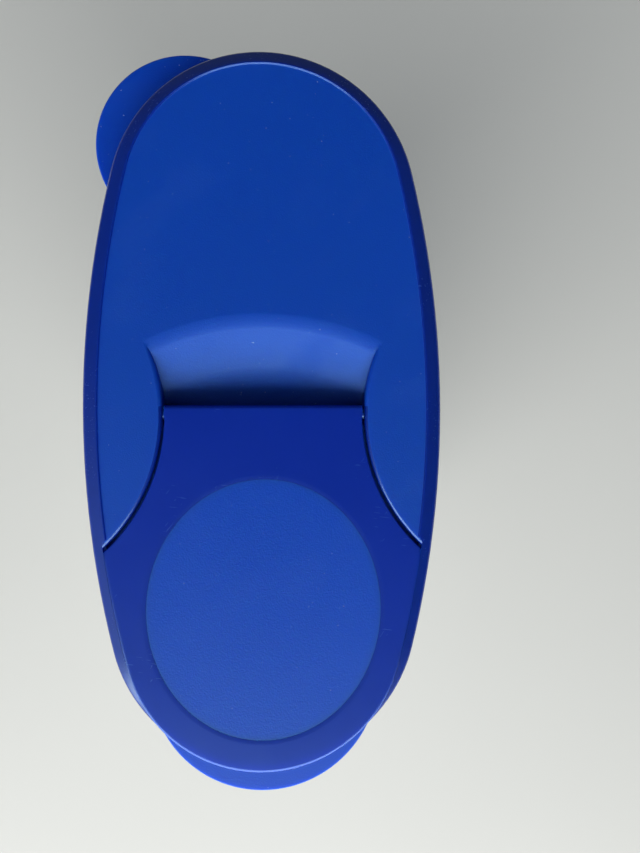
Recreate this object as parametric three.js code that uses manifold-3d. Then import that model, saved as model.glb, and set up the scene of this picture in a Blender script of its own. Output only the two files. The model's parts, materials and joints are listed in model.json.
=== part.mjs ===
// Tall oval storage canister with a press-on lid and a hinged pour flap.
// Millimetres, +Z up. The canister stands on z = 0, its long side runs along Y, the flap
// opens at the front (-Y) and the middle of the lid's oval is on the Z axis.

import * as THREE from "three";
import { mergeVertices } from "three/addons/utils/BufferGeometryUtils.js";
import Module from "manifold-3d";

const wasm = await Module();
wasm.setup();

// ---------------------------------------------------------------- driving dimensions

// Plan outline of the lid, an oval of four arcs
const LID_LENGTH = 245;
const LID_WIDTH = 122.5;
const END_TUCK = 8.4; // how much smaller the end radius is than half the width
const HEIGHT = 230; // floor to the crest of the lid

// Lid section, from the outside inwards. Depths are measured down from the crest.
const BAND_WIDTH = 4.4; // rounded band round the lid
const BAND_DROP = 4;
const CREST_LAND = 0.6; // flat top of the crest
const PANEL_DEPTH = 0.5; // the panel lies just below the crest
const PANEL_THICK = 1.8;
const SKIRT_WALL = 1.6;
const SKIRT_DEPTH = 14;
const CHANNEL_DEPTH = 6.4; // roof of the channel that grips the canister's rim
const CHANNEL_WALL = 1.6; // inner wall of that channel
const CHANNEL_WALL_DEPTH = 12.5;

// Canister
const RIM_THICK = 3; // rim that sits in the channel
const RIM_HEIGHT = 6;
const RIM_STEP = 1; // the rim stands out from the wall by this
const BODY_WALL = 2;
const BODY_TAPER = 4; // each side leans in by this from rim to base
const BASE_ROUND = 7;
const BASE_THICK = 2.4;
const FOOT_WIDTH = 3.5;
const FOOT_HEIGHT = 1.4;
const PAD_RADIUS = 11; // flat pad in the middle of the base

// Lift tabs on the skirt
const TAB_THICK = 2;
const TAB_DEPTH = 11; // crest to the tabs' upper face
const FRONT_TAB_REACH = 12.9; // beyond the lid's outline
const FRONT_TAB_RADIUS = 40.5;
const CORNER_TAB_REACH = 14.5;
const CORNER_TAB_RADIUS = 31.9;
const CORNER_TAB_ANGLE = 139; // degrees from +X, seen from above

// Flap
const FLAP_DEPTH = 1.5; // crest to the flap's upper face
const FLAP_THICK = 2.4;
const FLAP_LIP = 1.1; // the front edge passes the lid's outline by this
const NECK_HALF_WIDTH = 33.5; // at the hinge, between the lid's two fixed wings
const WING_RADIUS = 62; // arc between the flap and each wing
const WING_GAP = 0.7;
const RIM_GAP = 0.3; // between the flap and the lid's crest
const SEAT_GAP = 0.5; // between the flap and the seat under it

// Hinge
const HINGE_Y = -1.4;
const BARREL_RADIUS = 3;
const PIN_RADIUS = 1.9;
const PIN_IN_FLAP = 7;
const PIN_IN_WING = 4;
const BOSS_WALL = 1.4;

// Hollow round the hinge, and the sloping scoop behind it
const HOLLOW_GAP = 1.5; // barrel to the hollow's floor
const SCOOP_REACH = 30.3; // from the middle of the lid to the scoop's rear edge
const SCOOP_RADIUS = 89.8; // of that edge
const SCOOP_RUN = 19; // length of the slope, seen from above

// Pour opening, its neck, and the plug in the flap
const POUR_SIDE_MARGIN = 22.95; // widest part of the lid to the opening, seen from above
const POUR_FRONT_MARGIN = 11.6; // lid outline to the opening
const POUR_BACK_MARGIN = 23.5; // hinge axis to the opening
const NECK_WALL = 1.8;
const NECK_DEPTH = 12;
const DISC_MARGIN = 1.4; // the plug's visible disc is wider than the opening by this
const DISC_DEPTH = 0.5; // below the flap's upper face
const FLANGE_WIDTH = 2.3; // of the plug's flange, hidden under the flap
const FLANGE_THICK = 1;
const PLUG_GAP = 0.9; // plug to neck
const PLUG_WALL = 2.8;
const PLUG_DEPTH = 11.5;

// Soft seals
const SEAL_GAP = 0.3;
const LID_GASKET_THICK = 1.4;
const PLUG_GASKET_HEIGHT = 2.6;
const PLUG_GASKET_DEPTH = 6.2; // crest to the top of the gasket on the plug
const PLUG_GASKET_BITE = 1.1; // how deep it sits in the plug's groove

const FIT = 0.35; // clearance between pieces that turn or slide on each other
const CUT_RUN = 8; // how far a cutting solid runs past what it cuts
const OVAL_STEPS = 9; // half the number of steps in each of the oval's arcs
const ELLIPSE_STEPS = 24; // half the number of steps round the pour opening
const ROUND_STEPS = 72;
const BAR_STEPS = 24;

// ---------------------------------------------------------------- derived sizes

const halfLength = LID_LENGTH / 2;
const halfWidth = LID_WIDTH / 2;
const endRadius = halfWidth - END_TUCK;
const endCentreY = halfLength - endRadius;
const sideRadius = halfWidth + (endCentreY ** 2 - END_TUCK ** 2) / (2 * END_TUCK);
const sideCentreX = sideRadius - halfWidth;

const panelZ = HEIGHT - PANEL_DEPTH;
const bandZ = HEIGHT - BAND_DROP;
const roofZ = HEIGHT - CHANNEL_DEPTH;
const skirtZ = HEIGHT - SKIRT_DEPTH;
const aboveZ = HEIGHT + CUT_RUN;
const panelInset = BAND_WIDTH + CREST_LAND;

const rimInset = SKIRT_WALL + FIT;
const channelInset = rimInset + RIM_THICK + FIT;
const lidInnerInset = channelInset + CHANNEL_WALL;
const rimZ = roofZ - 2 * SEAL_GAP - LID_GASKET_THICK;

const flapZ = HEIGHT - FLAP_DEPTH;
const flapUnderZ = flapZ - FLAP_THICK;
const seatZ = flapUnderZ - SEAT_GAP;
const flapInset = panelInset + RIM_GAP;
const flapHalfLength = halfLength + FLAP_LIP;
const wingX = NECK_HALF_WIDTH + WING_GAP + WING_RADIUS;

const hingeZ = flapZ - BARREL_RADIUS;
const hollowZ = hingeZ - BARREL_RADIUS - HOLLOW_GAP;
const hollowFrontY = HINGE_Y - BARREL_RADIUS - WING_GAP;
const hollowBackY = HINGE_Y + BARREL_RADIUS + WING_GAP;
const socketRadius = PIN_RADIUS + FIT;
const socketEnd = NECK_HALF_WIDTH + WING_GAP + PIN_IN_WING + FIT;

const pourHalfWidth = halfWidth - POUR_SIDE_MARGIN;
const pourFrontY = POUR_FRONT_MARGIN - halfLength;
const pourBackY = HINGE_Y - POUR_BACK_MARGIN;
const pourY = (pourFrontY + pourBackY) / 2;
const pourHalfLength = (pourBackY - pourFrontY) / 2;
const discZ = flapZ - DISC_DEPTH;
const flangeZ = flapUnderZ + FLANGE_THICK;
const grooveInset = PLUG_GAP + PLUG_GASKET_BITE;
const plugGasketZ = HEIGHT - PLUG_GASKET_DEPTH;

// ---------------------------------------------------------------- shapes

// The lid's outline drawn in by inset. A half length of its own moves only the end arcs.
function oval(inset = 0, halfRun = halfLength - inset) {
  const side = sideRadius - inset;
  const end = (side ** 2 - sideCentreX ** 2 - halfRun ** 2) / (2 * (side - halfRun));
  const endY = halfRun - end;
  const turn = Math.atan2(endY, sideCentreX);
  const shape = new THREE.Shape();
  shape.absarc(-sideCentreX, 0, side, -turn, turn, false);
  shape.absarc(0, endY, end, turn, Math.PI - turn, false);
  shape.absarc(sideCentreX, 0, side, Math.PI - turn, Math.PI + turn, false);
  shape.absarc(0, -endY, end, Math.PI + turn, 2 * Math.PI - turn, false);
  return shape;
}

// The pour opening's ellipse drawn in by inset.
function pourEllipse(inset) {
  const shape = new THREE.Shape();
  shape.absellipse(0, pourY, pourHalfWidth - inset, pourHalfLength - inset, 0, 2 * Math.PI);
  return shape;
}

// A closed three.js geometry as a solid that can be joined and cut.
function solid(geometry) {
  geometry.deleteAttribute("normal");
  geometry.deleteAttribute("uv");
  const merged = mergeVertices(geometry, 1e-4);
  const mesh = new wasm.Mesh({
    numProp: 3,
    vertProperties: merged.attributes.position.array,
    triVerts: new Uint32Array(merged.index.array),
  });
  return new wasm.Manifold(mesh);
}

// Surface through a stack of nested ovals, each [inset, z], with both ends capped. A ring
// joins its last oval to its first instead.
function loft(levels, ring = false) {
  const rows = levels.map(([inset, z]) => {
    const points = oval(inset).getPoints(OVAL_STEPS);
    const kept = points.filter((p, i) => i === 0 || p.distanceTo(points[i - 1]) > 1e-4);
    kept.pop();
    return kept.map((p) => [p.x, p.y, z]);
  });
  const count = rows[0].length;
  const position = rows.flat(2);
  const index = [];
  for (let level = 0; level < rows.length - (ring ? 0 : 1); level++) {
    const low = level * count;
    const high = ((level + 1) % rows.length) * count;
    for (let i = 0; i < count; i++) {
      const j = (i + 1) % count;
      index.push(low + i, low + j, high + j, low + i, high + j, high + i);
    }
  }
  if (!ring) {
    const bottom = rows.length * count;
    const last = bottom - count;
    position.push(0, 0, levels[0][1], 0, 0, levels.at(-1)[1]);
    for (let i = 0; i < count; i++) {
      const j = (i + 1) % count;
      index.push(bottom, j, i, bottom + 1, last + i, last + j);
    }
  }
  const geometry = new THREE.BufferGeometry();
  geometry.setAttribute("position", new THREE.Float32BufferAttribute(position, 3));
  geometry.setIndex(index);
  return solid(geometry);
}

function slab(shape, fromZ, toZ, steps = OVAL_STEPS) {
  const options = { depth: toZ - fromZ, bevelEnabled: false, curveSegments: steps };
  return solid(new THREE.ExtrudeGeometry(shape, options)).translate([0, 0, fromZ]);
}

function disc(radius, x, y, fromZ, toZ) {
  const geometry = new THREE.CylinderGeometry(radius, radius, toZ - fromZ, ROUND_STEPS);
  return solid(geometry.rotateX(Math.PI / 2)).translate([x, y, (fromZ + toZ) / 2]);
}

// Round bar along X on the hinge axis.
function hingeBar(radius, fromX, toX) {
  const geometry = new THREE.CylinderGeometry(radius, radius, toX - fromX, BAR_STEPS);
  return solid(geometry.rotateZ(Math.PI / 2)).translate([(fromX + toX) / 2, HINGE_Y, hingeZ]);
}

// A bar at each end of the hinge, from one distance off the middle to another.
function hingeEnds(radius, fromX, toX) {
  return hingeBar(radius, fromX, toX).add(hingeBar(radius, -toX, -fromX));
}

// A block wider than the lid, between two values of y.
function crosswise(fromY, toY, fromZ, toZ) {
  const geometry = new THREE.BoxGeometry(2 * LID_WIDTH, toY - fromY, toZ - fromZ);
  return solid(geometry).translate([0, (fromY + toY) / 2, (fromZ + toZ) / 2]);
}

// Ring between two insets of the pour opening. A negative inset lies outside it.
function pourRing(outer, inner, fromZ, toZ) {
  const hole = slab(pourEllipse(inner), fromZ - 1, toZ + 1, ELLIPSE_STEPS);
  return slab(pourEllipse(outer), fromZ, toZ, ELLIPSE_STEPS).subtract(hole);
}

// The two round wings that the flap's neck passes between, grown by more.
function wings(more) {
  const radius = WING_RADIUS + more;
  const low = skirtZ - CUT_RUN;
  return disc(radius, wingX, HINGE_Y, low, aboveZ).add(disc(radius, -wingX, HINGE_Y, low, aboveZ));
}

// ---------------------------------------------------------------- canister

function containerBody() {
  const wallInset = rimInset + RIM_STEP;
  const baseInset = wallInset + BODY_TAPER;
  const footInset = baseInset + BASE_ROUND;
  const rimLowZ = rimZ - RIM_HEIGHT;
  const chamfer = RIM_THICK / 4;
  const floorZ = FOOT_HEIGHT + BASE_THICK;
  const innerRound = BASE_ROUND - BODY_WALL;
  const levels = [
    [footInset + FOOT_WIDTH + FOOT_HEIGHT, FOOT_HEIGHT],
    [footInset + FOOT_WIDTH, 0],
  ];
  for (const angle of [0, 22.5, 45, 67.5, 90].map(THREE.MathUtils.degToRad)) {
    levels.push([footInset - BASE_ROUND * Math.sin(angle), BASE_ROUND * (1 - Math.cos(angle))]);
  }
  levels.push(
    [wallInset, rimLowZ - RIM_STEP],
    [rimInset, rimLowZ],
    [rimInset, rimZ - chamfer],
    [rimInset + chamfer, rimZ],
    [rimInset + RIM_THICK - chamfer, rimZ],
    [rimInset + RIM_THICK, rimZ - chamfer],
    [wallInset + BODY_WALL, rimLowZ - RIM_STEP],
  );
  for (const angle of [90, 60, 30, 0].map(THREE.MathUtils.degToRad)) {
    const inset = baseInset + BODY_WALL + innerRound * (1 - Math.sin(angle));
    levels.push([inset, floorZ + innerRound * (1 - Math.cos(angle))]);
  }
  return loft(levels).add(disc(PAD_RADIUS, 0, 0, 0, FOOT_HEIGHT + BASE_THICK / 2));
}

// ---------------------------------------------------------------- lid

// The lid's outside, with no hollow yet.
function lidBlank() {
  const levels = [[0, skirtZ]];
  for (const run of [0, 1 / 3, 2 / 3, 1]) {
    levels.push([BAND_WIDTH * run, bandZ + BAND_DROP * (1 - (1 - run) ** 2)]);
  }
  levels.push([panelInset, HEIGHT], [panelInset, panelZ]);
  return loft(levels);
}

// The hollow that takes the flap: a seat under its plate, a deeper hollow round the hinge
// and the scoop behind. Grown by a wall thickness, it is the skin that carries them.
function flapHollow(grown) {
  const seatOutline = oval(flapInset - RIM_GAP - grown, flapHalfLength + RIM_GAP + grown);
  const front = crosswise(-LID_LENGTH, HINGE_Y, skirtZ, aboveZ);
  const seat = slab(seatOutline, seatZ - grown, aboveZ).intersect(front);
  const middle = crosswise(hollowFrontY - grown, hollowBackY, hollowZ - grown, aboveZ);
  return seat.add(middle).add(scoop(grown)).subtract(wings(-grown));
}

// Part of a shallow cone: flat at the hinge, then sloping up to the panel.
function scoop(grown) {
  const slope = (panelZ - hollowZ) / SCOOP_RUN;
  const floorRadius = SCOOP_RADIUS - SCOOP_RUN + grown / 2;
  const topRadius = floorRadius + (aboveZ - hollowZ + grown) / slope;
  const profile = [
    new THREE.Vector2(0, hollowZ - grown),
    new THREE.Vector2(floorRadius, hollowZ - grown),
    new THREE.Vector2(topRadius, aboveZ),
    new THREE.Vector2(0, aboveZ),
  ];
  const cone = solid(new THREE.LatheGeometry(profile, 2 * ROUND_STEPS).rotateX(Math.PI / 2));
  const behind = crosswise(hollowBackY - 1, halfLength, hollowZ - grown, aboveZ);
  return cone.translate([0, SCOOP_REACH - SCOOP_RADIUS, 0]).intersect(behind);
}

function liftTab(radius, x, y) {
  const top = HEIGHT - TAB_DEPTH;
  return disc(radius, x, y, top - TAB_THICK, top).subtract(slab(oval(SKIRT_WALL / 2), 0, HEIGHT));
}

function lidCover() {
  const low = skirtZ - CUT_RUN;
  const inside = slab(oval(lidInnerInset), low, panelZ - PANEL_THICK);
  const channel = slab(oval(SKIRT_WALL), low, roofZ);
  const channelWall = slab(oval(channelInset), HEIGHT - CHANNEL_WALL_DEPTH, panelZ);
  const skin = flapHollow(PANEL_THICK).intersect(slab(oval(channelInset), low, panelZ));
  const bosses = hingeEnds(socketRadius + BOSS_WALL, NECK_HALF_WIDTH, socketEnd + BOSS_WALL);
  const neck = pourRing(-NECK_WALL, 0, HEIGHT - NECK_DEPTH, seatZ);
  const mouth = slab(pourEllipse(0), low, aboveZ, ELLIPSE_STEPS);
  const sockets = hingeEnds(socketRadius, NECK_HALF_WIDTH, socketEnd);

  const cornerAngle = THREE.MathUtils.degToRad(CORNER_TAB_ANGLE);
  const cornerOut = endRadius + CORNER_TAB_REACH - CORNER_TAB_RADIUS;
  const cornerX = cornerOut * Math.cos(cornerAngle);
  const cornerY = endCentreY + cornerOut * Math.sin(cornerAngle);
  const cornerTab = liftTab(CORNER_TAB_RADIUS, cornerX, cornerY);
  const frontTab = liftTab(FRONT_TAB_RADIUS, 0, FRONT_TAB_RADIUS - halfLength - FRONT_TAB_REACH);

  return lidBlank()
    .subtract(channel.subtract(channelWall))
    .subtract(inside)
    .add(skin)
    .add(bosses.intersect(lidBlank()))
    .subtract(flapHollow(0))
    .subtract(mouth)
    .add(neck)
    .subtract(sockets)
    .add(cornerTab)
    .add(frontTab);
}

function lidGasket() {
  const top = roofZ - SEAL_GAP;
  const outer = SKIRT_WALL + SEAL_GAP;
  const inner = channelInset - SEAL_GAP;
  const low = top - LID_GASKET_THICK;
  return loft([[outer, low], [outer, top], [inner, top], [inner, low]], true);
}

// ---------------------------------------------------------------- flap

function pourFlap() {
  const front = crosswise(-LID_LENGTH, HINGE_Y, flapUnderZ - 1, flapZ + 1);
  const plate = slab(oval(flapInset, flapHalfLength), flapUnderZ, flapZ).intersect(front);
  const barrel = hingeBar(BARREL_RADIUS, -NECK_HALF_WIDTH, NECK_HALF_WIDTH);
  const pinHoles = hingeEnds(
    PIN_RADIUS + SEAL_GAP,
    NECK_HALF_WIDTH - PIN_IN_FLAP - SEAL_GAP,
    NECK_HALF_WIDTH + 1,
  );
  const window = slab(pourEllipse(-DISC_MARGIN), flapUnderZ - 1, flapZ + 1, ELLIPSE_STEPS);
  const rebateOutline = pourEllipse(-DISC_MARGIN - FLANGE_WIDTH);
  const rebate = slab(rebateOutline, flapUnderZ - 1, flangeZ + SEAL_GAP, ELLIPSE_STEPS);
  return plate
    .subtract(wings(WING_GAP))
    .add(barrel)
    .subtract(pinHoles)
    .subtract(window)
    .subtract(rebate);
}

function pourPlug() {
  const plugLowZ = HEIGHT - PLUG_DEPTH;
  const discOutline = pourEllipse(SEAL_GAP - DISC_MARGIN);
  const flangeOutline = pourEllipse(SEAL_GAP - DISC_MARGIN - FLANGE_WIDTH);
  const top = slab(discOutline, flapUnderZ, discZ, ELLIPSE_STEPS);
  const flange = slab(flangeOutline, flapUnderZ, flangeZ, ELLIPSE_STEPS);
  const ring = pourRing(PLUG_GAP, PLUG_GAP + PLUG_WALL, plugLowZ, flangeZ);
  const grooveLowZ = plugGasketZ - PLUG_GASKET_HEIGHT - SEAL_GAP;
  const groove = pourRing(0, grooveInset, grooveLowZ, plugGasketZ + SEAL_GAP);
  return top.add(flange).add(ring).subtract(groove);
}

function plugGasket() {
  const low = plugGasketZ - PLUG_GASKET_HEIGHT;
  return pourRing(SEAL_GAP, grooveInset - SEAL_GAP, low, plugGasketZ);
}

// side is -1 for the left pin and 1 for the right one.
function hingePin(side) {
  const inner = side * (NECK_HALF_WIDTH - PIN_IN_FLAP);
  const outer = side * (NECK_HALF_WIDTH + WING_GAP + PIN_IN_WING);
  return hingeBar(PIN_RADIUS, Math.min(inner, outer), Math.max(inner, outer));
}

// ---------------------------------------------------------------- materials and assembly

const frosted = new THREE.MeshStandardMaterial({ color: 0xdfe6e8, roughness: 0.45, metalness: 0 });
const lidBlue = new THREE.MeshStandardMaterial({ color: 0x1040a0, roughness: 0.5, metalness: 0 });
const flapBlue = new THREE.MeshStandardMaterial({ color: 0x182c8c, roughness: 0.3, metalness: 0 });
const discBlue = new THREE.MeshStandardMaterial({ color: 0x254db6, roughness: 0.55, metalness: 0 });
const gasket = new THREE.MeshStandardMaterial({ color: 0xc9ced0, roughness: 0.8, metalness: 0 });
const pinBlue = new THREE.MeshStandardMaterial({ color: 0x1c3aa8, roughness: 0.3, metalness: 0 });

const canister = new THREE.Group();

// Adds a solid to the assembly as a named mesh.
function place(name, made, material) {
  const { vertProperties, triVerts } = made.getMesh();
  const geometry = new THREE.BufferGeometry();
  geometry.setAttribute("position", new THREE.BufferAttribute(vertProperties, 3));
  geometry.setIndex(new THREE.BufferAttribute(triVerts, 1));
  const node = new THREE.Mesh(geometry, material);
  node.name = name;
  canister.add(node);
}

place("container_body", containerBody(), frosted);
place("lid_cover", lidCover(), lidBlue);
place("lid_gasket", lidGasket(), gasket);
place("pour_flap", pourFlap(), flapBlue);
place("pour_plug", pourPlug(), discBlue);
place("plug_gasket", plugGasket(), gasket);
place("hinge_pin_left", hingePin(-1), pinBlue);
place("hinge_pin_right", hingePin(1), pinBlue);

export default canister;
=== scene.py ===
"""Looks of a tall oval storage canister: press-on blue lid, hinged pour flap, frosted tub.

Metres, +Z up. The flap opens at the front, towards -Y. Each section below makes one piece, in
the order in which the canister goes together.
"""

import json
import math

import bmesh
import bpy
from mathutils import Matrix, Vector


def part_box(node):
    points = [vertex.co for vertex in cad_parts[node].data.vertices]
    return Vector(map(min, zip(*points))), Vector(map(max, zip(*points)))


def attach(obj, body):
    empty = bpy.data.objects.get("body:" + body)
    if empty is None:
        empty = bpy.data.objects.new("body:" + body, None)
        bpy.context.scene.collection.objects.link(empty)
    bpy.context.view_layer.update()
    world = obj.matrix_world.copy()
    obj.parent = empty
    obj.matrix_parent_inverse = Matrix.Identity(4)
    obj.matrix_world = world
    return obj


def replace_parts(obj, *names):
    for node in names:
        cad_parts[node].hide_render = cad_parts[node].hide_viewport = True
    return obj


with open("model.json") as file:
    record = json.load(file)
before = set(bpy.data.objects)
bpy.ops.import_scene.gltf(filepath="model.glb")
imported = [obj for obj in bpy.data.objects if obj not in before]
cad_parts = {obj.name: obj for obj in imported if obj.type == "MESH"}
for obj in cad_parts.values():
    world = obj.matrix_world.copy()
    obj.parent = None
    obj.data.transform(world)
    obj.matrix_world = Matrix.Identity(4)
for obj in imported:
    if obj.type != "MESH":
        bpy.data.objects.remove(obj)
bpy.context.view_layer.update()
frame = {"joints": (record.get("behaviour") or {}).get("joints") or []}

mm = 0.001

# ---------------------------------------------------------------- canister body
# The tub under the lid: one deep moulding in frosted natural polypropylene, with a thick rim
# that the lid grips, a rounded base and a foot ring round a shallow recess.

_, tub_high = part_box("container_body")
rim_fit = 1.95 * mm  # lid outline to the rim
rim_thick = 3 * mm
rim_height = 6 * mm
rim_step = 1 * mm
tub_wall = 2 * mm
tub_taper = 4 * mm
base_round = 7 * mm
base_thick = 2.4 * mm
foot_width = 3.5 * mm
foot_height = 1.4 * mm
pad_radius = 11 * mm

# The lid's outline is an oval of four arcs, and every ring on the tub and lid runs beside it.
half_width = tub_high.x + rim_fit
half_length = tub_high.y + rim_fit
end_tuck = 8.4 * mm  # how much smaller the end radius is than half the width
end_y = half_length - (half_width - end_tuck)
side_radius = half_width + (end_y**2 - end_tuck**2) / (2 * end_tuck)
side_x = side_radius - half_width
side_steps = 24
end_steps = 48
round_steps = 144

weld = 0.003 * mm  # points closer than this are one point
sharpest_smooth = math.radians(35)  # edges that turn more than this stay sharp


def draw(points, loop=False):
    """A line through (x, z, rounding) points, which a loop closes."""
    bm = bmesh.new()
    verts = [bm.verts.new((x, 0, z)) for x, z, _ in points]
    for pair in zip(verts, verts[1:] + verts[:1] if loop else verts[1:]):
        bm.edges.new(pair)
    for vert, (_, _, rounding) in zip(verts, points):
        if rounding:
            bmesh.ops.bevel(bm, geom=[vert], offset=rounding, offset_type="OFFSET", segments=5,
                            profile=0.5, affect="VERTICES", material=-1)
    return bm


def closed(bm):
    """Joins seams, fills what is still open and turns every face outwards."""
    bmesh.ops.remove_doubles(bm, verts=bm.verts, dist=weld)
    open_edges = [e for e in bm.edges if e.is_boundary]
    if open_edges:
        bmesh.ops.holes_fill(bm, edges=open_edges, sides=0)
    bmesh.ops.recalc_face_normals(bm, faces=bm.faces)
    return bm


def sweep(points, tip=half_length, inset=0.0, loop=False):
    """Carries (inset, z, rounding) points round the oval's four arcs, with its ends left open.

    A tip and inset of its own move the end arcs, so that the oval is longer but no wider.
    """
    bm = draw([(half_width - away, z, rounding) for away, z, rounding in points], loop)
    side = side_radius - inset
    end = (side**2 - side_x**2 - tip**2) / (2 * (side - tip))
    centre = tip - end
    turn = math.atan2(centre, side_x)
    end_turn = math.pi - 2 * turn
    arcs = (((-side_x, 0), turn, side_steps // 2), ((0, centre), end_turn, end_steps),
            ((side_x, 0), 2 * turn, side_steps), ((0, -centre), end_turn, end_steps),
            ((-side_x, 0), turn, side_steps // 2))
    line = bm.verts[:] + bm.edges[:]
    for (x, y), angle, steps in arcs:
        spun = bmesh.ops.spin(bm, geom=line, cent=(x, y, 0), axis=(0, 0, 1), angle=angle,
                              steps=steps)
        line = spun["geom_last"]
    bmesh.ops.remove_doubles(bm, verts=bm.verts, dist=weld)
    return bm


def finished(bm, name, body, slot, *materials):
    """Makes a mesh a piece of the object: smooth, in its materials, riding on its body."""
    for edge in bm.edges:
        edge.smooth = edge.calc_face_angle(0) < sharpest_smooth
    for face in bm.faces:
        face.smooth = True
    mesh = bpy.data.meshes.new(name)
    bm.to_mesh(mesh)
    bm.free()
    for material in materials:
        mesh.materials.append(material)
    piece = bpy.data.objects.new(name, mesh)
    bpy.context.scene.collection.objects.link(piece)
    even = piece.modifiers.new("even_shading", "WEIGHTED_NORMAL")
    even.keep_sharp = True
    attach(piece, body)
    return piece


class Wire:
    """An output of a material's nodes. Arithmetic on it adds Math nodes."""

    def __init__(self, socket):
        self.socket = socket
        self.tree = socket.id_data

    def node(self, kind, settings=None, inputs=None, output=0):
        """Any other node: its settings, then the values or wires of its inputs."""
        made = self.tree.nodes.new(kind)
        for name, value in (settings or {}).items():
            setattr(made, name, value)
        for name, value in (inputs or {}).items():
            if isinstance(value, Wire):
                self.tree.links.new(value.socket, made.inputs[name])
            else:
                made.inputs[name].default_value = value
        return Wire(made.outputs[output])

    def maths(self, operation, *values):
        return self.node("ShaderNodeMath", {"operation": operation}, dict(enumerate(values)))

    def __add__(self, other):
        return self.maths("ADD", self, other)

    def __mul__(self, other):
        return self.maths("MULTIPLY", self, other)

    __radd__ = __add__
    __rmul__ = __mul__

    def noise(self, scale, detail=2.0):
        """Cloudy noise from 0 to 1 on a wire of positions, with scale blobs to the metre."""
        inputs = {"Vector": self, "Scale": scale, "Detail": detail}
        return self.node("ShaderNodeTexNoise", {"noise_dimensions": "3D"}, inputs)

    def band(self, low, high):
        """0 below low and 1 above high, with a soft step between them."""
        inputs = {"Value": self, "From Min": low, "From Max": high}
        return self.node("ShaderNodeMapRange", {"interpolation_type": "SMOOTHSTEP"}, inputs)

    def blend(self, first, second):
        """Mixes two colours by this wire."""
        return self.node("ShaderNodeMix", {"data_type": "RGBA"}, {0: self, 6: first, 7: second}, 2)

    def stretched(self, times, turn=0.0):
        """Positions for a pattern that is drawn out so many times along each of its axes, with
        the axes turned about Z."""
        inputs = {"Vector": self, "Scale": times, "Rotation": (0, 0, turn)}
        return self.node("ShaderNodeMapping", {"vector_type": "TEXTURE"}, inputs)


def new_material(name, **constants):
    """A material, its shader with what is the same all over set on it, and its positions."""
    made = bpy.data.materials.new(name)
    made.use_nodes = True
    shader = made.node_tree.nodes["Principled BSDF"]
    for socket, value in constants.items():
        shader.inputs[socket.replace("_", " ")].default_value = value
    coordinates = made.node_tree.nodes.new("ShaderNodeTexCoord")
    return made, shader, Wire(coordinates.outputs["Object"])


def feed(shader, socket, wire):
    wire.tree.links.new(wire.socket, shader.inputs[socket])


def relief(shader, height, distance):
    """Surface relief, distance deep where the height wire is 1."""
    inputs = {"Height": height, "Distance": distance}
    feed(shader, "Normal", height.node("ShaderNodeBump", {}, inputs))


def frosted_plastic():
    """Milky polypropylene: faint clouding, fine frost grain and handling scuffs."""
    made, shader, place = new_material(
        "frosted_plastic", Subsurface_Weight=0.25, Subsurface_Scale=0.004, IOR=1.49)
    clouds = place.noise(22, 3)
    feed(shader, "Base Color", clouds.blend((0.46, 0.5, 0.51, 1), (0.56, 0.59, 0.59, 1)))
    scuffs = place.stretched((1, 1, 6.5)).noise(360, 4).band(0.6, 0.75)
    feed(shader, "Roughness", 0.36 + 0.12 * place.noise(90) + 0.12 * scuffs)
    relief(shader, place.noise(1400, 1), 0.015 * mm)
    return made


outer = rim_fit + rim_step  # inset of the tub's outside, under the rim
foot = outer + tub_taper + base_round
inner = outer + tub_wall
rim_low = tub_high.z - rim_height
floor = foot_height + base_thick
tub = sweep([
    (foot + foot_width + 2 * foot_height, foot_height, 0),
    (foot + foot_width + foot_height, foot_height, 0.4 * mm),
    (foot + foot_width, 0, 0.5 * mm),
    (outer + tub_taper, 0, base_round),
    (outer, rim_low - rim_step, 0.6 * mm),
    (rim_fit, rim_low, 0.4 * mm),
    (rim_fit, tub_high.z, 0.8 * mm),
    (rim_fit + rim_thick, tub_high.z, 0.8 * mm),
    (inner, rim_low - rim_step, 0.8 * mm),
    (inner + tub_taper, floor, base_round - tub_wall),
    (inner + tub_taper + base_round, floor, 0),
])
recess_edge = [e for e in tub.edges if e.is_boundary and e.verts[0].co.z < floor - weld]
pad = bmesh.ops.create_circle(tub, cap_ends=True, segments=round_steps, radius=pad_radius)
pad_face = pad["verts"][0].link_faces[0]
pad_edge = pad_face.edges[:]
raised = bmesh.ops.extrude_edge_only(tub, edges=pad_edge)["geom"]
pad_top = [e for e in raised if isinstance(e, bmesh.types.BMEdge)]
pad_verts = list({v for e in pad_top for v in e.verts})
bmesh.ops.translate(tub, vec=(0, 0, foot_height), verts=pad_verts)
bmesh.ops.bridge_loops(tub, edges=recess_edge + pad_top)
body = finished(closed(tub), "canister_body", "container", "frosted_body", frosted_plastic())
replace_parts(body, "container_body")

# ---------------------------------------------------------------- lid gasket
# A soft pale ring of silicone that lies in the roof of the lid's channel and is pressed on by
# the tub's rim.

gasket_low, gasket_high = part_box("lid_gasket")
gasket_out = half_width - gasket_high.x
gasket_in = 5 * mm


def soft_silicone():
    """Dull pale silicone, with a little dust in it."""
    made, shader, place = new_material("soft_silicone", Subsurface_Weight=0.15,
                                       Subsurface_Scale=0.002)
    dust = place.noise(900, 2).band(0.62, 0.7)
    feed(shader, "Base Color", dust.blend((0.62, 0.64, 0.64, 1), (0.48, 0.49, 0.49, 1)))
    feed(shader, "Roughness", 0.55 + 0.2 * place.noise(300))
    relief(shader, place.noise(700), 0.01 * mm)
    return made


silicone = soft_silicone()
ring = sweep([
    (gasket_out, gasket_low.z, 0.35 * mm),
    (gasket_out, gasket_high.z, 0.35 * mm),
    (gasket_in, gasket_high.z, 0.35 * mm),
    (gasket_in, gasket_low.z, 0.35 * mm),
], loop=True)
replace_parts(finished(closed(ring), "lid_gasket_ring", "lid", "gasket", silicone), "lid_gasket")

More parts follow.
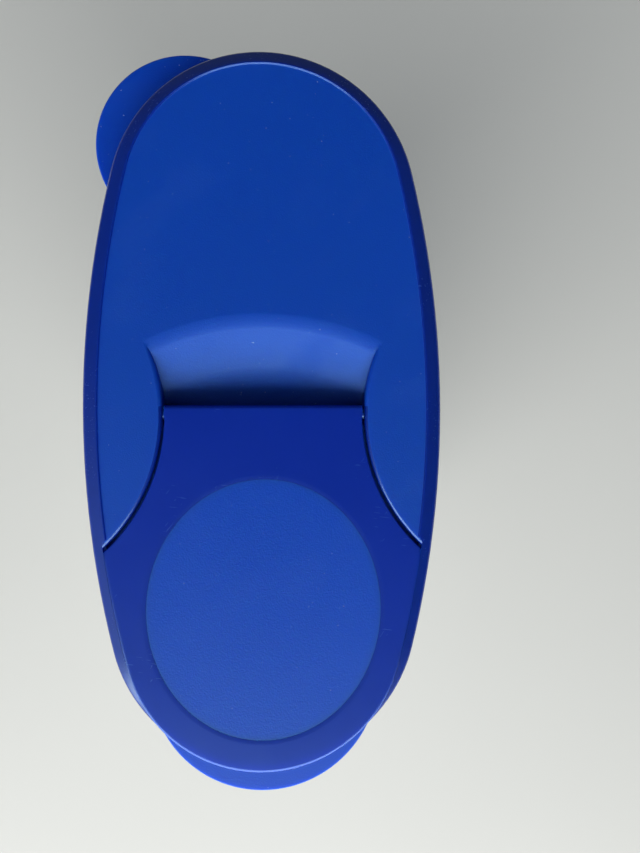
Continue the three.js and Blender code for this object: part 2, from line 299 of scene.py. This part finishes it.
# ---------------------------------------------------------------- lid cover
# The blue lid is one moulding: a matte panel inside a rounded glossy band, a skirt with a
# channel for the tub's rim, a low seat and a round neck under the flap, a hollow with a
# sloping scoop behind the hinge, two wings beside the flap's neck and two lift tabs.

lid_low, lid_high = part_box("lid_cover")
flap_low, flap_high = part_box("pour_flap")
plug_low, plug_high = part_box("pour_plug")
hinge = Vector(next(j for j in frame["joints"] if j["name"] == "flap_hinge")["pos_m"])

crest = lid_high.z
panel_z = crest - 0.5 * mm  # top of the panel
panel_thick = 1.8 * mm
panel_inset = 5.9 * mm
crest_width = 0.6 * mm
band_drop = 3 * mm
skirt_wall = 1.6 * mm
channel_roof = crest - 6.4 * mm
channel_inset = 5.3 * mm
channel_wall = 1.6 * mm
channel_low = crest - 12.5 * mm

flap_thick = 2.4 * mm
flap_under = flap_high.z - flap_thick
seat_z = flap_under - 0.5 * mm
flap_tip = -flap_low.y
seat_inset = 5 * mm  # lid outline to the wall of the flap's seat
brim_inset = 4.1 * mm  # the flap's thin edge, which reaches out over the seat's wall
brim_tip = flap_tip - 0.4 * mm
brim_low = flap_high.z - 0.5 * mm
brim_gap = 0.03 * mm
rim_gap = 0.3 * mm  # lid to flap, lower down
neck_half_width = 33.5 * mm
wing_gap = 0.7 * mm
wing_radius = 62 * mm
wing_round = 1.4 * mm
wing_x = neck_half_width + wing_gap + wing_radius
gap_open = 0.1 * mm  # widens the gap beside each wing, on both of its sides
barrel_radius = (flap_high.z - flap_low.z) / 2
hollow_floor = flap_low.z - 1.5 * mm
hollow_front = hinge.y - barrel_radius - wing_gap
hollow_back = hinge.y + barrel_radius + wing_gap
scoop_reach = 30.3 * mm  # middle of the lid to the scoop's rear edge
scoop_radius = 89.8 * mm  # of that edge
scoop_run = 19 * mm  # length of the slope, seen from above
scoop_round = 3 * mm
scoop_foot_round = 4.5 * mm
socket_radius = 2.25 * mm
socket_end = 38.55 * mm  # middle of the lid to the bottom of each pin's socket
boss_wall = 1.4 * mm
skin_top = panel_z - 0.2 * mm  # of the hollow's skin, inside the panel

pour_y = (plug_low.y + plug_high.y) / 2
pour_stretch = (plug_high.y - plug_low.y - plug_high.x + plug_low.x) / 2  # longer than wide by
pour_radius = 38.3 * mm
mouth_round = 0.9 * mm
mouth_edge = pour_radius + 1 * mm
neck_wall = 1.8 * mm
neck_low = crest - 12 * mm

tab_thick = 2 * mm
tab_top = crest - 11 * mm
front_tab = 40.5 * mm
corner_tab = 31.9 * mm
corner_tab_reach = 14.5 * mm
corner_tab_angle = math.radians(139)

far = 20 * mm  # how far a cutting tool runs past what it cuts
clear = 0.02 * mm  # lifts a tool's rim off the face it cuts
past_round = 1.05  # a straight run is this many times as long as the rounding at its end


def turned(points, x=0.0, y=0.0, loop=False):
    """Spins (distance from the axis, z, rounding) points round an upright axis."""
    bm = draw(points, loop)
    line = bm.verts[:] + bm.edges[:]
    bmesh.ops.spin(bm, geom=line, cent=(0, 0, 0), axis=(0, 0, 1), angle=2 * math.pi,
                   steps=round_steps, use_merge=True)
    bmesh.ops.translate(bm, vec=(x, y, 0), verts=bm.verts)
    return closed(bm)


def pour_turned(points, loop=False):
    """The same round the pour opening, drawn out lengthwise into an oval."""
    bm = turned(points, loop=loop)
    for vert in bm.verts:
        away = math.hypot(vert.co.x, vert.co.y)
        if away > clear:
            vert.co.y += pour_stretch * vert.co.y / away
    bmesh.ops.translate(bm, vec=(0, pour_y, 0), verts=bm.verts)
    return bm


def block(low, high):
    size = [b - a for a, b in zip(low, high)]
    middle = [(a + b) / 2 for a, b in zip(low, high)]
    bm = bmesh.new()
    bmesh.ops.create_cube(bm, size=1, matrix=Matrix.LocRotScale(middle, None, size))
    return bm


def bar(radius, low_x, high_x, rounding=0.0):
    """A round bar along X on the hinge axis."""
    middle = Matrix.Translation(((low_x + high_x) / 2, hinge.y, hinge.z))
    bm = bmesh.new()
    bmesh.ops.create_cone(bm, cap_ends=True, segments=64, radius1=radius, radius2=radius,
                          depth=high_x - low_x, matrix=middle @ Matrix.Rotation(math.pi / 2, 4, "Y"))
    if rounding:
        rims = [e for e in bm.edges if e.calc_face_angle(0) > sharpest_smooth]
        bmesh.ops.bevel(bm, geom=rims, offset=rounding, offset_type="OFFSET", segments=4,
                        profile=0.5, affect="EDGES", material=-1)
    return bm


def combined(first, operation, second):
    """Two closed meshes after a UNION, DIFFERENCE or INTERSECT. Both are used up."""
    holders = []
    for bm in (first, second):
        mesh = bpy.data.meshes.new("solid")
        bm.to_mesh(mesh)
        bm.free()
        holders.append(bpy.data.objects.new("solid", mesh))
        bpy.context.scene.collection.objects.link(holders[-1])
    cut = holders[0].modifiers.new("cut", "BOOLEAN")
    cut.operation = operation
    cut.solver = "MANIFOLD"
    cut.object = holders[1]
    result = bmesh.new()
    result.from_object(holders[0], bpy.context.evaluated_depsgraph_get())
    for holder in holders:
        bpy.data.objects.remove(holder)
    return result


def wings(radius, top, rounding):
    """Both round wings beside the flap's neck. Their top edge is rounded, or flared outwards
    where rounding is negative."""
    lip = radius - past_round * rounding
    points = [(0, top - far, 0), (radius, top - far, 0), (radius, top + clear, abs(rounding)),
              (lip, top + clear, 0), (lip, top + far, 0), (0, top + far, 0)]
    return combined(turned(points, wing_x, hinge.y), "UNION", turned(points, -wing_x, hinge.y))


def flap_hollow(grown, rounding):
    """The hollow that takes the flap: seat, hinge hollow and scoop. Grown by a wall's thickness
    it is the skin that carries them."""
    tip = flap_tip + rim_gap + grown
    inset = seat_inset - clear - grown
    brim = brim_inset - brim_gap
    top = panel_z + far
    low_part = sweep([(inset, seat_z - grown, 0), (inset, top, 0)], tip, inset)
    high_part = sweep([(brim, brim_low - brim_gap, 0), (brim, top, 0)], brim_tip + brim_gap, brim)
    seat = combined(closed(low_part), "UNION", closed(high_part))
    bmesh.ops.bisect_plane(seat, geom=seat.verts[:] + seat.edges[:] + seat.faces[:],
                           plane_co=(0, hinge.y, 0), plane_no=(0, 1, 0), clear_outer=True)
    past_side = half_width + far
    middle = block((-past_side, hollow_front - grown, hollow_floor - grown),
                   (past_side, hollow_back, top))
    start = scoop_radius - scoop_run + grown / 2
    reach = start + scoop_run
    back = reach + past_round * scoop_round
    scoop = turned([
        (0, hollow_floor - grown, 0),
        (start, hollow_floor - grown, scoop_foot_round),
        (reach, panel_z - grown + clear, scoop_round),
        (back, panel_z - grown + clear, 0),
        (back, top, 0),
        (0, top, 0),
    ], 0, scoop_reach - scoop_radius)
    bmesh.ops.bisect_plane(scoop, geom=scoop.verts[:] + scoop.edges[:] + scoop.faces[:],
                           plane_co=(0, hollow_back - 1 * mm, 0), plane_no=(0, -1, 0),
                           clear_outer=True)
    hollow = combined(combined(closed(seat), "UNION", middle), "UNION", closed(scoop))
    return combined(hollow, "DIFFERENCE", wings(wing_radius - gap_open - grown, panel_z, rounding))


def matte_blue(name, dark, light):
    """Royal blue with a fine moulded grain, faint smudges and dust specks."""
    made, shader, place = new_material(name, IOR=1.49, Specular_IOR_Level=0.42,
                                       Specular_Tint=(0.45, 0.8, 1, 1),
                                       Subsurface_Weight=0.6, Subsurface_Scale=0.01,
                                       Subsurface_Radius=(0.1, 0.4, 1))
    cloud = place.noise(14, 3).blend(dark, light)
    specks = place.noise(1500, 0).band(0.87, 0.88)
    feed(shader, "Base Color", specks.blend(cloud, (0.16, 0.23, 0.45, 1)))
    smudges = place.stretched((1.6, 1, 1), 0.5).noise(48, 4).band(0.52, 0.68)
    feed(shader, "Roughness", 0.44 + 0.1 * smudges + 0.08 * place.noise(260, 1))
    relief(shader, place.noise(2000, 0), 0.04 * mm)
    return made


def gloss_blue(name, dark, light):
    """The same plastic left smooth, with fine scratches from handling. The colours it is given are
    darker than the matte plastic's: painted shade for the dim room that the smooth faces reflect.
    """
    made, shader, place = new_material(name, IOR=1.49, Specular_IOR_Level=0.9,
                                       Specular_Tint=(0.32, 0.62, 1, 1),
                                       Subsurface_Weight=0.6, Subsurface_Scale=0.01,
                                       Subsurface_Radius=(0.1, 0.4, 1), Coat_Weight=0.1,
                                       Coat_Roughness=0.12)
    cloud = place.noise(18, 3).blend(dark, light)
    worn = place.noise(45, 1).band(0.5, 0.65)
    long = place.stretched((14, 1, 1), -0.12).noise(2200, 1).band(0.7, 0.75)
    short = place.stretched((9, 1, 1), 0.9).noise(2400, 1).band(0.72, 0.77)
    scratches = worn * (long + short)
    feed(shader, "Base Color", (0.25 * scratches).blend(cloud, (0.05, 0.1, 0.36, 1)))
    feed(shader, "Roughness", 0.2 + 0.08 * place.noise(60, 3) + 0.12 * scratches)
    relief(shader, place.noise(1500, 1), 0.006 * mm)
    return made


shell = sweep([
    (panel_inset + 0.5 * mm, panel_z, 0),
    (panel_inset, panel_z, 0.3 * mm),
    (panel_inset - 0.2 * mm, crest, 0.2 * mm),
    (panel_inset - crest_width, crest, 0.4 * mm),
    (0, crest - band_drop, 1.3 * mm),
    (0, lid_low.z, 0.4 * mm),
    (skirt_wall, lid_low.z, 0.4 * mm),
    (skirt_wall, channel_roof, 0.4 * mm),
    (channel_inset, channel_roof, 0.4 * mm),
    (channel_inset, channel_low, 0.4 * mm),
    (channel_inset + channel_wall, channel_low, 0.4 * mm),
    (channel_inset + channel_wall, panel_z - panel_thick, 0),
])
within = closed(sweep([(channel_inset, lid_low.z - far, 0), (channel_inset, skin_top, 0)]))
skin = combined(flap_hollow(panel_thick, 0), "INTERSECT", within)
lid = combined(closed(shell), "UNION", skin)
for side in (-1, 1):
    ends = sorted((side * neck_half_width, side * (socket_end + boss_wall)))
    lid = combined(lid, "UNION", bar(socket_radius + boss_wall, *ends))
lid = combined(lid, "UNION", pour_turned([
    (0, neck_low, 0),
    (pour_radius + neck_wall, neck_low, 0.5 * mm),
    (pour_radius + neck_wall, seat_z - rim_gap, 0),
    (0, seat_z - rim_gap, 0),
]))
lid = combined(lid, "DIFFERENCE", flap_hollow(0, wing_round))
lid = combined(lid, "DIFFERENCE", pour_turned([
    (0, neck_low - far, 0),
    (pour_radius, neck_low - far, 0),
    (pour_radius, seat_z + clear, mouth_round),
    (mouth_edge, seat_z + clear, 0),
    (mouth_edge, seat_z + far, 0),
    (0, seat_z + far, 0),
]))
for side in (-1, 1):
    ends = sorted((side * (neck_half_width - 1 * mm), side * socket_end))
    lid = combined(lid, "DIFFERENCE", bar(socket_radius, *ends))
corner_out = half_width - end_tuck + corner_tab_reach - corner_tab
tabs = ((front_tab, 0, lid_low.y + front_tab),
        (corner_tab, corner_out * math.cos(corner_tab_angle),
         end_y + corner_out * math.sin(corner_tab_angle)))
for radius, x, y in tabs:
    tab = turned([(0, tab_top - tab_thick, 0), (radius, tab_top - tab_thick, 0.6 * mm),
                  (radius, tab_top, 0.6 * mm), (0, tab_top, 0)], x, y)
    core = closed(sweep([(skirt_wall / 2, lid_low.z - far, 0), (skirt_wall / 2, crest, 0)]))
    lid = combined(lid, "UNION", combined(tab, "DIFFERENCE", core))


def inset_of(point):
    """How far a point is inside the lid's outline, seen from above."""
    if abs(point.y) * side_x < end_y * (abs(point.x) + side_x):
        return side_radius - math.hypot(abs(point.x) + side_x, point.y)
    return half_width - end_tuck - math.hypot(point.x, abs(point.y) - end_y)


for face in lid.faces:
    middle = face.calc_center_median()
    on_band = 0 < inset_of(middle) < panel_inset and middle.z > crest - 2 * band_drop
    from_wing = math.hypot(abs(middle.x) - wing_x, middle.y - hinge.y) - wing_radius
    is_flat = abs(face.normal.z) >= 0.98
    on_wing_edge = (abs(from_wing) < wing_round and not is_flat and middle.z > seat_z
                    and middle.y < hollow_back)
    face.material_index = int(on_band or on_wing_edge)
lid_matte = matte_blue("lid_matte_blue", (0.0012, 0.04, 0.335, 1), (0.002, 0.046, 0.38, 1))
# The band and wing edges share the panel's pigment; their darker colours are painted shade for the
# dim room that the glossy faces reflect.
lid_gloss = gloss_blue("lid_gloss_blue", (0.001, 0.013, 0.19, 1), (0.0016, 0.017, 0.23, 1))
cover = finished(lid, "lid_moulding", "lid", "lid_blue", lid_matte, lid_gloss)
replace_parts(cover, "lid_cover")

# ---------------------------------------------------------------- pour flap
# A thin glossy plate that follows the lid's front and narrows to a neck at the hinge, where a
# round barrel runs across it. Its front edge overhangs the lid for a fingertip, and an oval
# window takes the plug.

flap_top = panel_z - 0.1 * mm
disc_radius = 39.7 * mm
disc_slope = 1.2 * mm  # width of the slope from the flap's face down to the disc
disc_sink = 0.1 * mm
flange_radius = 42 * mm
flange_top = flap_under + 1 * mm
pin_hole = 2.2 * mm
pin_hole_start = 26.2 * mm
flap_inset = seat_inset + rim_gap
ledge = 1.5 * mm  # how far in the drawn edge runs before the plate's faces are filled flat
side_round = 0.6 * mm
knuckle_round = 1.3 * mm
window_edge = disc_radius + disc_slope + 2 * mm
plate = closed(sweep([
    (flap_inset + ledge, flap_under, 0),
    (flap_inset, flap_under, 0.3 * mm),
    (flap_inset, brim_low, 0.2 * mm),
    (brim_inset, brim_low, 0.1 * mm),
    (brim_inset, flap_top - 0.14 * mm, 0.15 * mm),
    (brim_inset + 0.55 * mm, flap_top, 0.35 * mm),
    (brim_inset + ledge, flap_top, 0),
], brim_tip, brim_inset))
bmesh.ops.bisect_plane(plate, geom=plate.verts[:] + plate.edges[:] + plate.faces[:],
                       plane_co=(0, hinge.y, 0), plane_no=(0, 1, 0), clear_outer=True)
beside = wings(wing_radius + wing_gap + gap_open, flap_top, -side_round)
plate = combined(closed(plate), "DIFFERENCE", beside)
knuckle = block((-neck_half_width, hinge.y - 1 * mm, hinge.z),
                (neck_half_width, hinge.y + barrel_radius - clear, flap_top))
back_edge = [e for e in knuckle.edges
             if all(v.co.y > hinge.y and v.co.z > hinge.z + clear for v in e.verts)]
bmesh.ops.bevel(knuckle, geom=back_edge, offset=knuckle_round, offset_type="OFFSET", segments=6,
                profile=0.5, affect="EDGES", material=-1)
plate = combined(plate, "UNION", knuckle)
plate = combined(plate, "UNION", bar(barrel_radius, -neck_half_width, neck_half_width, 0.3 * mm))
for side in (-1, 1):
    ends = sorted((side * pin_hole_start, side * (neck_half_width + 1 * mm)))
    plate = combined(plate, "DIFFERENCE", bar(pin_hole, *ends))
plate = combined(plate, "DIFFERENCE", pour_turned([
    (0, flap_under - far, 0),
    (disc_radius, flap_under - far, 0),
    (disc_radius, flap_top - disc_sink, 0),
    (disc_radius + disc_slope, flap_top, 0.7 * mm),
    (window_edge, flap_top + clear, 0),
    (window_edge, flap_top + far, 0),
    (0, flap_top + far, 0),
]))
plate = combined(plate, "DIFFERENCE", pour_turned([
    (0, flap_under - far, 0),
    (flange_radius, flap_under - far, 0),
    (flange_radius, flange_top + rim_gap, 0),
    (0, flange_top + rim_gap, 0),
]))
# The flap shares the disc's pigment; its darker colours are painted shade for the dim room that its
# glossy face reflects.
flap_gloss = gloss_blue("flap_gloss_blue", (0.0015, 0.015, 0.26, 1), (0.0025, 0.02, 0.31, 1))
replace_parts(finished(plate, "flap_plate", "flap", "flap_blue", flap_gloss), "pour_flap")

# ---------------------------------------------------------------- pour plug and its gasket
# The plug fills the flap's window with a matte oval disc. Under it hangs the ring that goes
# into the neck, with a groove for a soft gasket. It is pressed in from below and welded.

seal_low, seal_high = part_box("plug_gasket")
plug_outer = 37.4 * mm
plug_wall = 2.8 * mm
groove = 36.3 * mm
disc_top = flap_top - disc_sink
plug = pour_turned([
    (0, disc_top, 0),
    (disc_radius - clear, disc_top, 0),
    (disc_radius - clear, flange_top, 0),
    (flange_radius - rim_gap, flange_top, 0.2 * mm),
    (flange_radius - rim_gap, flap_under, 0.3 * mm),
    (plug_outer, flap_under, 0),
    (plug_outer, seal_high.z + rim_gap, 0.15 * mm),
    (groove, seal_high.z + rim_gap, 0),
    (groove, seal_low.z - rim_gap, 0),
    (plug_outer, seal_low.z - rim_gap, 0.15 * mm),
    (plug_outer, plug_low.z, 0.6 * mm),
    (plug_outer - plug_wall, plug_low.z, 0.6 * mm),
    (plug_outer - plug_wall, flap_under, 1 * mm),
    (0, flap_under, 0),
])
disc_matte = matte_blue("disc_matte_blue", (0.0012, 0.041, 0.365, 1), (0.002, 0.047, 0.41, 1))
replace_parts(finished(plug, "plug_disc", "flap", "disc_blue", disc_matte), "pour_plug")

seal = pour_turned([
    (groove + rim_gap, seal_low.z, 0.2 * mm),
    (seal_high.x, seal_low.z, 0.6 * mm),
    (seal_high.x, seal_high.z, 0.6 * mm),
    (groove + rim_gap, seal_high.z, 0.2 * mm),
], loop=True)
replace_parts(finished(seal, "plug_gasket_ring", "flap", "gasket", silicone), "plug_gasket")

# ---------------------------------------------------------------- hinge pins
# Two stub pins pressed into the ends of the flap's barrel. They turn in sockets in the bosses
# under the lid's wings.

pin_blue = gloss_blue("pin_blue", (0.006, 0.03, 0.28, 1), (0.008, 0.04, 0.34, 1))
for side in ("left", "right"):
    pin_low, pin_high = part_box("hinge_pin_" + side)
    pin = bar((pin_high.z - pin_low.z) / 2, pin_low.x, pin_high.x, 0.35 * mm)
    stub = finished(pin, "stub_pin_" + side, "flap", "pin_blue", pin_blue)
    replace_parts(stub, "hinge_pin_" + side)

# ---------------------------------------------------------------- stage
# A plain pale floor and backdrop, one large soft window light low at the front and a little to
# the left, a dim room round it, and a camera that looks straight down on the lid.

table_reach = 12  # from the middle to each side
eye_height = 217 * mm  # above the lid
window_side = (-0.3, -0.94, 0.12)

table = bpy.data.meshes.new("table")
bm = bmesh.new()
bmesh.ops.create_grid(bm, x_segments=1, y_segments=1, size=table_reach)
bm.to_mesh(table)
bm.free()
table_top = bpy.data.objects.new("table", table)
bpy.context.scene.collection.objects.link(table_top)
paint, paint_shader, paint_place = new_material("table_paint", Roughness=0.6)
tone = paint_place.noise(3, 2)
feed(paint_shader, "Base Color", tone.blend((0.5, 0.505, 0.485, 1), (0.53, 0.535, 0.515, 1)))
table.materials.append(paint)

window = bpy.data.lights.new("window", "AREA")
window.shape = "RECTANGLE"
window.size = 3.4
window.size_y = 1.6
window.energy = 96
window.color = (1.0, 0.995, 0.97)
window_lamp = bpy.data.objects.new("window", window)
window_lamp.location = (-0.25, -1.63, 1.12)
to_lid = Vector((0, 0, crest)) - window_lamp.location
window_lamp.rotation_euler = to_lid.to_track_quat("-Z", "Y").to_euler()
bpy.context.scene.collection.objects.link(window_lamp)

world = bpy.data.worlds.new("room")
world.use_nodes = True
bpy.context.scene.world = world
backdrop = world.node_tree.nodes["Background"]
sky = Wire(world.node_tree.nodes.new("ShaderNodeTexCoord").outputs["Generated"])
towards_window = sky.node("ShaderNodeVectorMath", {"operation": "DOT_PRODUCT"},
                          {0: sky, 1: window_side}, 1)
room = towards_window.band(0.1, 0.95).blend((0.055, 0.08, 0.12, 1), (0.9, 0.9, 0.88, 1))
in_view = Wire(world.node_tree.nodes.new("ShaderNodeLightPath").outputs["Is Camera Ray"])
room = in_view.blend(room, (0.55, 0.56, 0.56, 1))
room.tree.links.new(room.socket, backdrop.inputs["Color"])

camera = bpy.data.cameras.new("camera")
camera.lens = 27.05
camera.sensor_width = 36
camera.clip_start = 0.01
eye = bpy.data.objects.new("camera", camera)
eye.location = (7 * mm, -4.2 * mm, crest + eye_height)
eye.rotation_euler = (math.radians(-0.38), math.radians(-3.15), math.radians(-0.11))
bpy.context.scene.collection.objects.link(eye)
bpy.context.scene.camera = eye
bpy.context.scene.view_settings.view_transform = "Standard"
